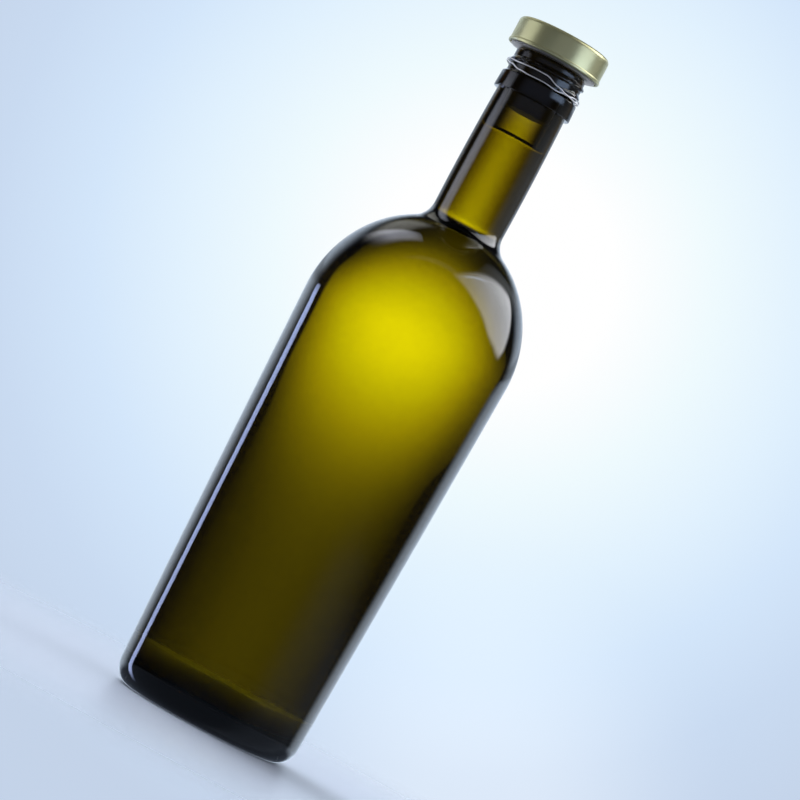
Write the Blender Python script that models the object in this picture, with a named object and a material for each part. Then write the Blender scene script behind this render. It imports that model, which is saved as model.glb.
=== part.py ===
# A 75 cl wine bottle of olive green glass, filled into the neck and shut by a bar-top stopper.
#
# The bottle stands upright on the flat ring round its punt. Its axis is Z, and the origin is
# the centre of its foot. Six solids, each a separate piece of the real thing:
#   bottle_glass   the turned glass, hollow, with its punt, locking collar and screw thread
#   wine           the wine inside, up to its level in the neck
#   stopper_head   the thin metal shell over the stopper's head
#   stopper_disc   the white plastic head under the shell, resting on the bottle's mouth
#   stopper_shank  the dark shank that seals the bore
#   neck_wire      a thin wire wound twice round the thread
import math

import bmesh
import bpy
from mathutils import Vector

MM = 0.001
GAP = 0.3 * MM
TURN_STEPS = 48

# The outside of the bottle
FOOT_RADIUS = 36.3 * MM
HEEL_WIDTH = 6.8 * MM
HEEL_HEIGHT = 9.0 * MM
RING_WIDTH = 2.5 * MM
PUNT_HEIGHT = 12.5 * MM
SHOULDER_RADIUS = 41.1 * MM
SHOULDER_HEIGHT = 159.3 * MM
SIDE_BOW = 0.08
DOME_HEIGHT = 44.7 * MM
NECK_FILLET = 8.5 * MM
NECK_FOOT_RADIUS = 14.05 * MM
NECK_SWELL_RADIUS = 14.42 * MM
NECK_TOP_RADIUS = 13.7 * MM

# The finish: collar, thread and mouth
COLLAR_BOTTOM = 254.9 * MM
COLLAR_TOP = 261.0 * MM
COLLAR_LOW_RADIUS = 15.35 * MM
COLLAR_HIGH_RADIUS = 15.1 * MM
COLLAR_LOW_EDGE = 0.2 * MM
COLLAR_HIGH_EDGE = 0.4 * MM
COLLAR_SLOPE = 1.2 * MM
ROOT_RADIUS = 13.95 * MM
MOUTH_HEIGHT = 271.1 * MM
MOUTH_ROUND = 1.1 * MM
THREAD_RADIUS = 14.78 * MM
THREAD_PITCH = 3.5 * MM
THREAD_UPPER_FOOT = 1.5 * MM
THREAD_CREST_TOP = 0.15 * MM
THREAD_CREST_BOTTOM = -0.3 * MM
THREAD_LOWER_FOOT = -0.75 * MM
THREAD_SUNK = 0.9 * MM
THREAD_END_SUNK = 0.25 * MM
THREAD_HEIGHT_AT_X = 267.7 * MM
THREAD_START = 60.0
THREAD_END = -425.0
THREAD_FADE = 35.0

# The inside of the bottle
BORE_RADIUS = 9.6 * MM
BORE_ROUND = 0.8 * MM
BORE_TAPER_RADIUS = 9.95 * MM
BORE_TAPER_HEIGHT = 233.0 * MM
BORE_FOOT_HEIGHT = 246.0 * MM
NECK_INSIDE_RADIUS = 10.4 * MM
SIDE_WALL = 2.3 * MM
SHOULDER_WALL = 2.5 * MM
INSIDE_FILLET = 11.0 * MM
INSIDE_CORNER = 11.0 * MM
INSIDE_FLOOR = 8.0 * MM
INSIDE_PUNT_TOP = 17.5 * MM
WINE_LEVEL = 241.0 * MM

# The stopper
HEAD_RADIUS = 18.2 * MM
HEAD_BOTTOM = 271.9 * MM
HEAD_TOP = 281.9 * MM
HEAD_EDGE = 1.6 * MM
HEAD_WALL = 0.6 * MM
BEAD_RADIUS = 18.5 * MM
BEAD_HEIGHT = 1.4 * MM
BEAD_FLAT_TOP = 0.95 * MM
BEAD_FLAT_BOTTOM = 0.35 * MM
BEAD_CURL = 0.3 * MM
DISC_RADIUS = 17.1 * MM
DISC_BOTTOM = MOUTH_HEIGHT + GAP
DISC_ROUND = 0.4 * MM
SHANK_RADIUS = 9.2 * MM
SHANK_BOTTOM = 250.0 * MM
SHANK_ROUND = 1.4 * MM

# The wire
WIRE_RADIUS = 0.225 * MM
WIRE_TURN_RADIUS = 15.3 * MM
WIRE_STEPS = 48
WIRE_CROSSING = -56.0
WIRE_CROSSING_SPREAD = 30.0
WIRE_CROSSING_LIFT = 0.6 * MM

# The two turns' heights in mm at angles in degrees round the neck, from +X towards +Y
WIRE_FIRST_TURN = (
    (-180.0, 265.85), (-130.0, 265.0), (-110.0, 265.1), (-90.0, 265.0),
    (-68.0, 263.3), (-54.0, 262.45), (-30.0, 262.1), (0.0, 262.5),
    (60.0, 262.9), (120.0, 264.2), (180.0, 265.2),
)
WIRE_SECOND_TURN = (
    (-180.0, 265.2), (-150.0, 263.9), (-130.0, 262.6), (-110.0, 262.15),
    (-90.0, 262.2), (-68.0, 261.75), (-54.0, 262.25), (-30.0, 263.1),
    (0.0, 263.2), (60.0, 263.6), (120.0, 264.85), (180.0, 265.85),
)


def material(name, colour, roughness, metallic=0.0):
    """A plain surface of one colour."""
    made = bpy.data.materials.new(name)
    made.use_nodes = True
    shader = made.node_tree.nodes["Principled BSDF"]
    shader.inputs["Base Color"].default_value = (*colour, 1.0)
    shader.inputs["Roughness"].default_value = roughness
    shader.inputs["Metallic"].default_value = metallic
    return made


def add_object(name, mesh_data, look):
    """A named object that holds a finished bmesh."""
    bmesh.ops.recalc_face_normals(mesh_data, faces=mesh_data.faces)
    mesh = bpy.data.meshes.new(name)
    mesh_data.to_mesh(mesh)
    mesh_data.free()
    mesh.materials.append(look)
    mesh.shade_smooth()
    mesh.set_sharp_from_angle(angle=math.radians(35))
    placed = bpy.data.objects.new(name, mesh)
    bpy.context.scene.collection.objects.link(placed)
    return placed


def arc(centre_r, centre_z, size_r, size_z, start, end, steps):
    """Points of an elliptical arc in the (r, z) plane, from start to end in degrees."""
    points = []
    for step in range(steps + 1):
        angle = math.radians(start + (end - start) * step / steps)
        points.append((centre_r + size_r * math.cos(angle), centre_z + size_z * math.sin(angle)))
    return points


def turned(profile, steps=TURN_STEPS):
    """The solid that a profile of (r, z) points, from axis to axis, sweeps in a full turn."""
    made = bmesh.new()
    verts = [made.verts.new((r, 0.0, z)) for r, z in profile]
    edges = [made.edges.new(pair) for pair in zip(verts, verts[1:])]
    bmesh.ops.spin(
        made,
        geom=verts + edges,
        axis=(0.0, 0.0, 1.0),
        cent=(0.0, 0.0, 0.0),
        angle=math.tau,
        steps=steps,
        use_merge=True,
    )
    bmesh.ops.remove_doubles(made, verts=made.verts, dist=0.001 * MM)
    return made


def dome_and_fillet(radius, foot_z, height, neck_radius, fillet, dome_steps, fillet_steps):
    """A domed shoulder (a half ellipse) and the hollow curve that joins it to the neck."""

    def dome(angle):
        point = (radius * math.cos(angle), foot_z + height * math.sin(angle))
        normal = Vector((math.cos(angle) / radius, math.sin(angle) / height)).normalized()
        return point, normal

    low = 0.0
    high = math.pi / 2
    for _ in range(50):
        middle = (low + high) / 2
        point, normal = dome(middle)
        if point[0] + fillet * normal.x > neck_radius + fillet:
            low = middle
        else:
            high = middle
    points = [dome(low * step / dome_steps)[0] for step in range(dome_steps + 1)]
    point, normal = dome(low)
    centre_r = point[0] + fillet * normal.x
    centre_z = point[1] + fillet * normal.y
    start = math.degrees(math.atan2(-normal.y, -normal.x)) % 360.0
    points += arc(centre_r, centre_z, fillet, fillet, start, 180.0, fillet_steps)[1:]
    return points


def side_radius(share, low, high):
    """The slightly bowed taper of the body, between its foot and its shoulder."""
    return low + (high - low) * (share * (1.0 + SIDE_BOW) - SIDE_BOW * share * share)


def outside_profile():
    """Up the outside, from the middle of the punt to the mouth."""
    ring_outer = FOOT_RADIUS - HEEL_WIDTH
    ring_inner = ring_outer - RING_WIDTH
    cap_radius = (ring_inner ** 2 + PUNT_HEIGHT ** 2) / (2.0 * PUNT_HEIGHT)
    cap_angle = math.degrees(math.asin(ring_inner / cap_radius))
    points = arc(0.0, PUNT_HEIGHT - cap_radius, cap_radius, cap_radius, 90.0, 90.0 - cap_angle, 5)
    points += arc(ring_outer, HEEL_HEIGHT, HEEL_WIDTH, HEEL_HEIGHT, -90.0, 0.0, 5)
    side_steps = 5
    for step in range(1, side_steps):
        share = step / side_steps
        height = HEEL_HEIGHT + (SHOULDER_HEIGHT - HEEL_HEIGHT) * share
        points.append((side_radius(share, FOOT_RADIUS, SHOULDER_RADIUS), height))
    points += dome_and_fillet(
        SHOULDER_RADIUS, SHOULDER_HEIGHT, DOME_HEIGHT, NECK_FOOT_RADIUS, NECK_FILLET, 10, 4
    )
    neck_foot = points[-1][1]
    neck_steps = 4
    for step in range(1, neck_steps + 1):
        share = step / neck_steps
        rest = 1.0 - share
        radius = rest * rest * NECK_FOOT_RADIUS + share * share * NECK_TOP_RADIUS
        radius += 2.0 * share * rest * NECK_SWELL_RADIUS
        points.append((radius, neck_foot + (COLLAR_BOTTOM - neck_foot) * share))
    points += [
        (COLLAR_LOW_RADIUS - COLLAR_LOW_EDGE, COLLAR_BOTTOM),
        (COLLAR_LOW_RADIUS, COLLAR_BOTTOM + COLLAR_LOW_EDGE),
        (COLLAR_HIGH_RADIUS, COLLAR_TOP),
        (COLLAR_HIGH_RADIUS - 0.75 * COLLAR_HIGH_EDGE, COLLAR_TOP + COLLAR_HIGH_EDGE),
        (ROOT_RADIUS, COLLAR_TOP + COLLAR_SLOPE),
    ]
    mouth_centre = (ROOT_RADIUS - MOUTH_ROUND, MOUTH_HEIGHT - MOUTH_ROUND)
    points += arc(*mouth_centre, MOUTH_ROUND, MOUTH_ROUND, 0.0, 90.0, 3)
    return points


def inside_profile():
    """Up the inside, from the middle of the floor to the bore's top."""
    corner_radius = FOOT_RADIUS - SIDE_WALL
    flat_edge = corner_radius - INSIDE_CORNER
    rise = INSIDE_PUNT_TOP - INSIDE_FLOOR
    cap_radius = (flat_edge ** 2 + rise ** 2) / (2.0 * rise)
    cap_angle = math.degrees(math.asin(flat_edge / cap_radius))
    points = arc(0.0, INSIDE_PUNT_TOP - cap_radius, cap_radius, cap_radius, 90.0, 90.0 - cap_angle, 4)
    corner_top = INSIDE_FLOOR + INSIDE_CORNER
    points += arc(flat_edge, corner_top, INSIDE_CORNER, INSIDE_CORNER, -90.0, 0.0, 4)[1:]
    shoulder = SHOULDER_RADIUS - SHOULDER_WALL
    side_steps = 4
    for step in range(1, side_steps):
        share = step / side_steps
        height = corner_top + (SHOULDER_HEIGHT - corner_top) * share
        points.append((side_radius(share, corner_radius, shoulder), height))
    points += dome_and_fillet(
        shoulder,
        SHOULDER_HEIGHT,
        DOME_HEIGHT - SHOULDER_WALL,
        NECK_INSIDE_RADIUS,
        INSIDE_FILLET,
        9,
        4,
    )
    return points


def bore_profile():
    """The last stretch of the inside, up the bore to the mouth's top."""
    points = [(BORE_TAPER_RADIUS, BORE_TAPER_HEIGHT), (BORE_RADIUS, BORE_FOOT_HEIGHT)]
    centre = (BORE_RADIUS + BORE_ROUND, MOUTH_HEIGHT - BORE_ROUND)
    points += arc(*centre, BORE_ROUND, BORE_ROUND, 180.0, 90.0, 2)
    return points


def thread_solid():
    """The screw thread: a barb swept along a right-handed helix, sunk into the neck at both ends."""
    section = (
        (ROOT_RADIUS - THREAD_SUNK, THREAD_UPPER_FOOT),
        (ROOT_RADIUS, THREAD_UPPER_FOOT),
        (THREAD_RADIUS, THREAD_CREST_TOP),
        (THREAD_RADIUS, THREAD_CREST_BOTTOM),
        (ROOT_RADIUS, THREAD_LOWER_FOOT),
        (ROOT_RADIUS - THREAD_SUNK, THREAD_LOWER_FOOT),
    )
    made = bmesh.new()
    steps = round((THREAD_START - THREAD_END) / 360.0 * TURN_STEPS)
    rings = []
    for step in range(steps + 1):
        degrees = THREAD_END + (THREAD_START - THREAD_END) * step / steps
        angle = math.radians(degrees)
        height = THREAD_HEIGHT_AT_X + THREAD_PITCH * degrees / 360.0
        from_end = min(degrees - THREAD_END, THREAD_START - degrees)
        share = min(1.0, from_end / THREAD_FADE)
        drop = (1.0 - share) * (THREAD_RADIUS - ROOT_RADIUS + THREAD_END_SUNK)
        ring = []
        for radius, offset in section:
            if radius >= ROOT_RADIUS:
                radius -= drop
            place = (radius * math.cos(angle), radius * math.sin(angle), height + offset)
            ring.append(made.verts.new(place))
        rings.append(ring)
    for low, high in zip(rings, rings[1:]):
        for corner in range(len(section)):
            following = (corner + 1) % len(section)
            made.faces.new((low[corner], low[following], high[following], high[corner]))
    made.faces.new(rings[0])
    made.faces.new(rings[-1])
    return made


def build_glass(look):
    """The bottle: outside, mouth and inside in one turned profile, with the thread joined on."""
    profile = outside_profile() + list(reversed(inside_profile() + bore_profile()))
    bottle = add_object("bottle_glass", turned(profile), look)
    thread = add_object("thread_tool", thread_solid(), look)
    thread.hide_render = True
    thread.display_type = "WIRE"
    union = bottle.modifiers.new("thread", "BOOLEAN")
    union.operation = "UNION"
    union.object = thread
    return bottle


def build_wine(look):
    """The wine: the inside of the bottle less a small gap, cut off level in the neck."""
    wall = inside_profile()
    points = [(0.0, wall[0][1] + GAP)]
    for before, here, after in zip(wall, wall[1:], wall[2:] + [bore_profile()[0]]):
        along = (Vector(after) - Vector(before)).normalized()
        points.append((here[0] - GAP * along.y, here[1] + GAP * along.x))
    upper = bore_profile()[0]
    points.append((upper[0] - GAP, upper[1]))
    points.append((BORE_RADIUS, WINE_LEVEL))
    points.append((0.0, WINE_LEVEL))
    return add_object("wine", turned(points), look)


def build_head(look):
    """The metal shell: a shallow cup, mouth down, with a rolled bead round its lower edge."""
    inner = HEAD_RADIUS - HEAD_WALL
    points = [(0.0, HEAD_TOP)]
    points += arc(HEAD_RADIUS - HEAD_EDGE, HEAD_TOP - HEAD_EDGE, HEAD_EDGE, HEAD_EDGE, 90.0, 0.0, 4)
    points += [
        (HEAD_RADIUS, HEAD_BOTTOM + BEAD_HEIGHT),
        (BEAD_RADIUS, HEAD_BOTTOM + BEAD_FLAT_TOP),
        (BEAD_RADIUS, HEAD_BOTTOM + BEAD_FLAT_BOTTOM),
        (BEAD_RADIUS - BEAD_CURL, HEAD_BOTTOM),
        (inner, HEAD_BOTTOM),
        (inner, HEAD_TOP - HEAD_EDGE),
        (inner - HEAD_EDGE + HEAD_WALL, HEAD_TOP - HEAD_WALL),
        (0.0, HEAD_TOP - HEAD_WALL),
    ]
    return add_object("stopper_head", turned(points), look)


def build_disc(look):
    """The white plastic head that fills the shell and rests on the bottle's mouth."""
    top = HEAD_TOP - HEAD_EDGE - GAP
    points = [(0.0, top), (DISC_RADIUS - DISC_ROUND, top), (DISC_RADIUS, top - DISC_ROUND)]
    points += [
        (DISC_RADIUS, DISC_BOTTOM + DISC_ROUND),
        (DISC_RADIUS - DISC_ROUND, DISC_BOTTOM),
        (0.0, DISC_BOTTOM),
    ]
    return add_object("stopper_disc", turned(points), look)


def build_shank(look):
    """The shank in the bore, rounded at its lower end."""
    top = DISC_BOTTOM - GAP
    points = [(0.0, top), (SHANK_RADIUS, top)]
    centre = (SHANK_RADIUS - SHANK_ROUND, SHANK_BOTTOM + SHANK_ROUND)
    points += arc(*centre, SHANK_ROUND, SHANK_ROUND, 0.0, -90.0, 3)
    points.append((0.0, SHANK_BOTTOM))
    return add_object("stopper_shank", turned(points, 32), look)


def wire_height(places, degrees):
    """The wire's height at an angle round the neck, read from the places where it bends."""
    for (start, low), (end, high) in zip(places, places[1:]):
        if start <= degrees <= end:
            share = (degrees - start) / (end - start)
            smooth = share * share * (3.0 - 2.0 * share)
            return (low + (high - low) * smooth) * MM
    return places[-1][1] * MM


def build_wire(look):
    """The wire: one closed loop of two turns, whose strands cross in front, the first one outside."""
    curve = bpy.data.curves.new("neck_wire", "CURVE")
    curve.dimensions = "3D"
    curve.bevel_depth = WIRE_RADIUS
    curve.bevel_resolution = 1
    spline = curve.splines.new("POLY")
    spline.points.add(2 * WIRE_STEPS - 1)
    spline.use_cyclic_u = True
    for turn, places in enumerate((WIRE_FIRST_TURN, WIRE_SECOND_TURN)):
        for step in range(WIRE_STEPS):
            degrees = -180.0 + 360.0 * step / WIRE_STEPS
            angle = math.radians(degrees)
            radius = WIRE_TURN_RADIUS
            if turn == 0:
                nearness = max(0.0, 1.0 - abs(degrees - WIRE_CROSSING) / WIRE_CROSSING_SPREAD)
                radius += WIRE_CROSSING_LIFT * nearness * nearness * (3.0 - 2.0 * nearness)
            place = (radius * math.cos(angle), radius * math.sin(angle), wire_height(places, degrees))
            spline.points[turn * WIRE_STEPS + step].co = (*place, 1.0)
    curve.materials.append(look)
    placed = bpy.data.objects.new("neck_wire", curve)
    bpy.context.scene.collection.objects.link(placed)
    return placed


def main():
    for old in list(bpy.data.objects):
        bpy.data.objects.remove(old)
    glass = material("olive_glass", (0.16, 0.15, 0.01), 0.05)
    wine = material("wine", (0.62, 0.52, 0.02), 0.05)
    metal = material("champagne_metal", (0.42, 0.42, 0.26), 0.32, 1.0)
    plastic = material("white_plastic", (0.8, 0.79, 0.8), 0.45)
    cork = material("dark_shank", (0.02, 0.016, 0.01), 0.6)
    wire = material("grey_wire", (0.5, 0.5, 0.55), 0.35, 1.0)
    build_glass(glass)
    build_wine(wine)
    build_head(metal)
    build_disc(plastic)
    build_shank(cork)
    build_wire(wire)


main()
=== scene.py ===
# The looks of the wine bottle: olive glass, white wine, stopper and neck wire, in a pale studio.
import math

import bmesh
import bpy
from bpy.props import FloatProperty, FloatVectorProperty, IntProperty, PointerProperty
from mathutils import Matrix, Vector, noise


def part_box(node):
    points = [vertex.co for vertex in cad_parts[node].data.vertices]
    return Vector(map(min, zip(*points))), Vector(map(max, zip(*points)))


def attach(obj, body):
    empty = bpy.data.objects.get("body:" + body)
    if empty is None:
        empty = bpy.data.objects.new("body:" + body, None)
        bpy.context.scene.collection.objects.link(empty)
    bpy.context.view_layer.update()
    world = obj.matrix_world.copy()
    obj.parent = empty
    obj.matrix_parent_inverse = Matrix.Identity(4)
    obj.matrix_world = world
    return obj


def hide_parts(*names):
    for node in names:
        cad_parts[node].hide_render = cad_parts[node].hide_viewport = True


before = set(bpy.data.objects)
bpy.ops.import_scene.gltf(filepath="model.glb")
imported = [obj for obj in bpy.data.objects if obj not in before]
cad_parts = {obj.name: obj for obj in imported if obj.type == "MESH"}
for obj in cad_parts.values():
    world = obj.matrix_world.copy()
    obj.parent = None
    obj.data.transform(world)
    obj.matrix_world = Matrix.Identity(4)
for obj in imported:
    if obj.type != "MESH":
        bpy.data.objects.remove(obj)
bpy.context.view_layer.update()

bl_info = {
    "name": "Wine bottle",
    "version": (1, 0, 0),
    "blender": (4, 5, 0),
    "location": "3D View > Sidebar > Bottle",
    "description": "Makes a filled wine bottle of olive glass with a metal-topped stopper",
    "category": "Add Mesh",
}

MM = 0.001
BODY = "root"
MERGE_DISTANCE = 0.001 * MM
SHARP_ANGLE = 40.0

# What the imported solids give
GLASS_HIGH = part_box("bottle_glass")[1]
WINE_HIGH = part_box("wine")[1]
HEAD_LOW, HEAD_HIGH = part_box("stopper_head")
DISC_LOW, DISC_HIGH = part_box("stopper_disc")
SHANK_LOW, SHANK_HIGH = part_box("stopper_shank")

# The outside of the glass
HEEL_WIDTH = 6.8 * MM
HEEL_HEIGHT = 9.0 * MM
RING_WIDTH = 2.5 * MM
PUNT_HEIGHT = 12.5 * MM
SHOULDER_HEIGHT = 159.3 * MM
SIDE_BOW = 0.08
DOME_HEIGHT = 44.7 * MM
NECK_FILLET = 8.5 * MM
NECK_FOOT_RADIUS = 14.05 * MM
NECK_SWELL_RADIUS = 14.42 * MM
NECK_TOP_RADIUS = 13.7 * MM
PUNT_STEPS = 20
HEEL_STEPS = 14
SIDE_STEPS = 24
DOME_STEPS = 40
FILLET_STEPS = 12
FILLET_HALVINGS = 50
NECK_STEPS = 16

# The collar, the screw thread and the mouth
COLLAR_BOTTOM = 254.9 * MM
COLLAR_TOP = 261.0 * MM
COLLAR_LOW_RADIUS = 15.35 * MM
COLLAR_HIGH_RADIUS = 15.1 * MM
COLLAR_EDGE = 0.35 * MM
COLLAR_SLOPE = 1.2 * MM
COLLAR_STEPS = 5
ROOT_RADIUS = 13.95 * MM
ROOT_NEARNESS = 0.02 * MM
MOUTH_ROUND = 1.1 * MM
MOUTH_STEPS = 8
THREAD_DEPTH = 0.83 * MM
THREAD_PITCH = 3.5 * MM
THREAD_HEIGHT_AT_X = 267.7 * MM
THREAD_START = 60.0
THREAD_END = -425.0
THREAD_FADE = 35.0
THREAD_ROW = 0.13 * MM
THREAD_SECTION = ((-0.75 * MM, 0.0), (-0.3 * MM, 1.0), (0.15 * MM, 1.0), (1.5 * MM, 0.0))

# The inside of the glass
BORE_RADIUS = 9.6 * MM
BORE_ROUND = 0.8 * MM
BORE_STEPS = 6
BORE_TAPER_RADIUS = 9.95 * MM
BORE_TAPER_HEIGHT = 233.0 * MM
BORE_FOOT_HEIGHT = 246.0 * MM
NECK_INSIDE_RADIUS = 10.4 * MM
SHOULDER_WALL = 2.5 * MM
INSIDE_FILLET = 11.0 * MM
INSIDE_CORNER = 11.0 * MM
INSIDE_FLOOR = 8.0 * MM
INSIDE_PUNT_TOP = 17.5 * MM
INSIDE_PUNT_STEPS = 16
INSIDE_CORNER_STEPS = 12
INSIDE_DOME_STEPS = 36
WAVE_SCALE = Vector((22.0, 22.0, 7.0))
WAVE_FADE = 20.0 * MM

# How the glass bends and blurs light
GLASS_IOR = 1.52
WAVES_PER_METRE = 40.0
WAVE_DEPTH = 0.05 * MM
SEAM_WIDTH = 0.35 * MM
SEAM_DEPTH = 0.06 * MM
BLURRED = "blurred"
FLOOR_BLUR = 0.55
FLOOR_BLUR_FADE = 2.0 * MM

# The wine reaches a little into the wall, so that no air shows between the two
WINE_IN_WALL = 0.05 * MM
MENISCUS_HEIGHT = 1.1 * MM
MENISCUS_WIDTH = 0.8 * MM
MENISCUS_STEPS = 16
MENISCUS_CROWDING = 1.5
WINE_IOR = 1.34

# The stopper
HEAD_EDGE = 1.6 * MM
HEAD_WALL = 0.6 * MM
HEAD_RADIUS = 18.2 * MM
HEAD_EDGE_STEPS = 12
HEAD_SIDE_STEPS = 6
BEAD_HEIGHT = 1.4 * MM
BEAD_START = 75.0
BEAD_STEPS = 10
DISC_ROUND = 0.4 * MM
DISC_STEPS = 5
SHANK_ROUND = 1.4 * MM
SHANK_SIDE_STEPS = 10
SHANK_ROUND_STEPS = 8

# The part of a grain's values over which a surface's roughness changes
GRAIN_RANGE = (0.2, 0.8)

# The wire's two turns, as heights in mm at angles in degrees round the neck
WIRE_RADIUS = 0.225 * MM
WIRE_TURN_RADIUS = 15.3 * MM
WIRE_CROSSING = -56.0
WIRE_CROSSING_SPREAD = 30.0
WIRE_CROSSING_LIFT = 0.6 * MM
WIRE_STEPS = 180
WIRE_ROUNDNESS = 3
WIRE_FIRST_TURN = (
    (-180.0, 265.85), (-130.0, 265.0), (-110.0, 265.1), (-90.0, 265.0),
    (-68.0, 263.3), (-54.0, 262.45), (-30.0, 262.1), (0.0, 262.5),
    (60.0, 262.9), (120.0, 264.2), (180.0, 265.2),
)
WIRE_SECOND_TURN = (
    (-180.0, 265.2), (-150.0, 263.9), (-130.0, 262.6), (-110.0, 262.15),
    (-90.0, 262.2), (-68.0, 261.75), (-54.0, 262.25), (-30.0, 263.1),
    (0.0, 263.2), (60.0, 263.6), (120.0, 264.85), (180.0, 265.85),
)

# The camera, with its sensor and lens in mm and its angles in degrees
CAMERA_DISTANCE = 1449.4 * MM
CAMERA_HEIGHT = 88.3 * MM
CAMERA_SENSOR = 36.0
CAMERA_LENS = 179.7
CAMERA_YAW = 0.351
CAMERA_PITCH = 1.935
CAMERA_ROLL = 28.193

# The floor
FLOOR_RADIUS = 335.0 * MM
FLOOR_SEGMENTS = 96
FLOOR_FADES = (45.0 * MM, 330.0 * MM)
FLOOR_COLOUR = (0.7, 0.755, 0.92)
FLOOR_ROUGHNESS = 0.35

# The backdrop's colour by the angle in degrees from its brightest place, an (azimuth, elevation)
BACKDROP_AT = (0.7, 4.2)
BACKDROP_ANGLE = 9.0
BACKDROP = (
    (1.7, (1.0, 1.0, 1.0)), (3.15, (0.86, 0.957, 0.99)), (4.5, (0.753, 0.88, 0.99)),
    (5.8, (0.652, 0.79, 0.96)), (7.2, (0.585, 0.705, 0.88)), (9.0, (0.55, 0.65, 0.81)),
)

# More light low on the backdrop. Fades go from one angle to another, from one light to another
LOW_LIGHT_AT = (4.0, -2.6)
LOW_LIGHT_FADES = (0.5, 3.8, 1.0, 0.0)
LOW_LIGHT_COLOUR = (0.14, 0.12, 0.08)

# What the glass shows past the lit sheet. A band's four angles are where light begins, is full,
# starts to fall and ends, with None where a side stays open
THROUGH_AZIMUTHS = (66.0, 96.0, None, None)
THROUGH_ELEVATIONS = (-36.0, -2.0, 16.0, 50.0)
THROUGH_DIM = 0.15
THROUGH_PALE = 0.45
THROUGH_COLOUR = (0.92, 0.97, 1.0)

# The backdrop that the glass mirrors, narrower above and with a dip where the neck mirrors it
MIRRORED_LEFT = (-54.0, -32.0, None, None)
MIRRORED_RIGHT = (None, None, 42.0, 58.0)
MIRRORED_NARROWING = (1.0, 4.0, 0.0, 9.0)
MIRRORED_ELEVATIONS = (-17.0, -7.0, 16.0, 32.0)
MIRRORED_DIP = (2.6, 5.2, 6.6, 9.2)
MIRRORED_DIP_DEPTH = 0.45
MIRRORED_COLOUR = (0.76, 0.9, 1.08)
MIRRORED_EVERYWHERE = (0.02, 0.022, 0.026)

# The strip that the body mirrors at the left, which leans above
STRIP_AZIMUTHS = (-62.0, -59.5, -53.5, -51.0)
STRIP_LEANING = (-1.0, 2.0, 0.0, -3.0)
STRIP_ELEVATIONS = (-36.0, -14.0, 1.5, 3.5)
STRIP_COLOUR = (2.7, 3.3, 5.6)

# Haze at the lower right, haze from the floor and a box at the left: colour, azimuths, elevations
MIRRORED_PATCHES = (
    ((0.11, 0.13, 0.16), (45.0, 70.0, 112.0, 155.0), (None, None, -4.4, -2.6)),
    ((0.08, 0.1, 0.14), (None, None, None, None), (None, None, -8.5, -6.3)),
    ((0.9, 0.9, 0.82), (-61.0, -50.0, -30.0, -19.0), (26.0, 37.0, 47.0, 58.0)),
)

# The soft box that the shoulder mirrors: the (azimuth, elevation) of its corners and brightest place
RIGHT_BOX = (
    (151.0, 66.0), (41.0, 32.0), (56.0, 22.0), (66.0, 13.0), (74.0, 13.0), (94.0, 24.0), (117.0, 47.0),
)
RIGHT_BOX_SOFTNESS = 0.055
RIGHT_BOX_AT = (68.0, 34.0)
RIGHT_BOX_FADES = (12.0, 62.0, 4.6, 1.3)
RIGHT_BOX_COLOUR = (0.94, 0.96, 1.0)

# What lights matt surfaces: a lamp, the room, and patches behind and below (light and two bands)
LAMP_AT = (-40.0, 42.0)
LAMP_FADES = (14.0, 46.0, 3.2, 0.0)
ROOM_FADES = (-12.0, 18.0, 0.02, 0.5)
SPREAD_PATCHES = (
    (0.45, (-85.0, -70.0, 70.0, 85.0), (-25.0, -10.0, 20.0, 35.0)),
    (3.4, (-55.0, -45.0, 45.0, 55.0), (-50.0, -40.0, -12.0, -2.0)),
)
SPREAD_COLOUR = (0.9, 0.96, 1.0)

# The lit sheet behind the bottle, and its colour where its light is weak and strong
BACK_LIGHT_SIZE = 1000.0 * MM
BACK_LIGHT_DISTANCE = 220.0 * MM
BACK_LIGHT_HEIGHT = 200.0 * MM
BACK_LIGHT_RANGE = (0.4, 3.2)
BACK_LIGHT_WEAK = (0.97, 1.0, 1.0, 1.0)
BACK_LIGHT_STRONG = (0.86, 1.0, 1.0, 1.0)

# Its glows, in metres: strength, middle (x, z), widths to left and right, heights down and up
BACK_GLOWS = (
    (3.0, (0.004, 0.18), (0.04, 0.042), (0.035, 0.036)),
    (1.25, (0.004, 0.176), (0.1, 0.13), (0.023, 0.028)),
    (2.5, (0.004, 0.257), (0.026, 0.026), (0.026, 0.045)),
    (0.15, (0.0, 0.1), (0.03, 0.03), (0.4, 0.2)),
    (0.03, (0.0, 0.1), (0.09, 0.09), (0.4, 0.2)),
)

# Its left and right edges: (x, light) at both ends, and how much wider it is above; then the heights
# between which it widens
BACK_LIGHT_EDGES = (
    ((-0.101, 0.0), (-0.089, 1.0), 0.35),
    ((0.087, 1.0), (0.1, 0.0), 0.12),
)
BACK_LIGHT_WIDENS = (0.12, 0.148)

# The lamps that the neck mirrors, in metres and degrees: name, colour, strength, azimuth, distance,
# height, width, tallness
SOFT_BOX_LAMPS = (
    ("neck_light", (0.86, 0.9, 1.06), 2.6, -101.0, 0.046, 0.2325, 0.034, 0.085),
    ("neck_haze", (0.93, 0.98, 1.0), 0.42, 90.0, 0.046, 0.2325, 0.07, 0.085),
    ("front_haze", (0.5, 0.62, 1.0), 0.2, 180.0, 0.06, 0.27, 0.17, 0.044),
    ("collar_light", (0.5, 0.68, 1.0), 3.2, 125.0, 0.062, 0.272, 0.066, 0.014),
)

# Where they fade, as shares across and upward: the rise's end, the fall's start and the fall's end
SOFT_ACROSS = (0.35, 0.65, 1.0)
SOFT_UPWARD = (0.3, 0.42, 1.3)

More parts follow.
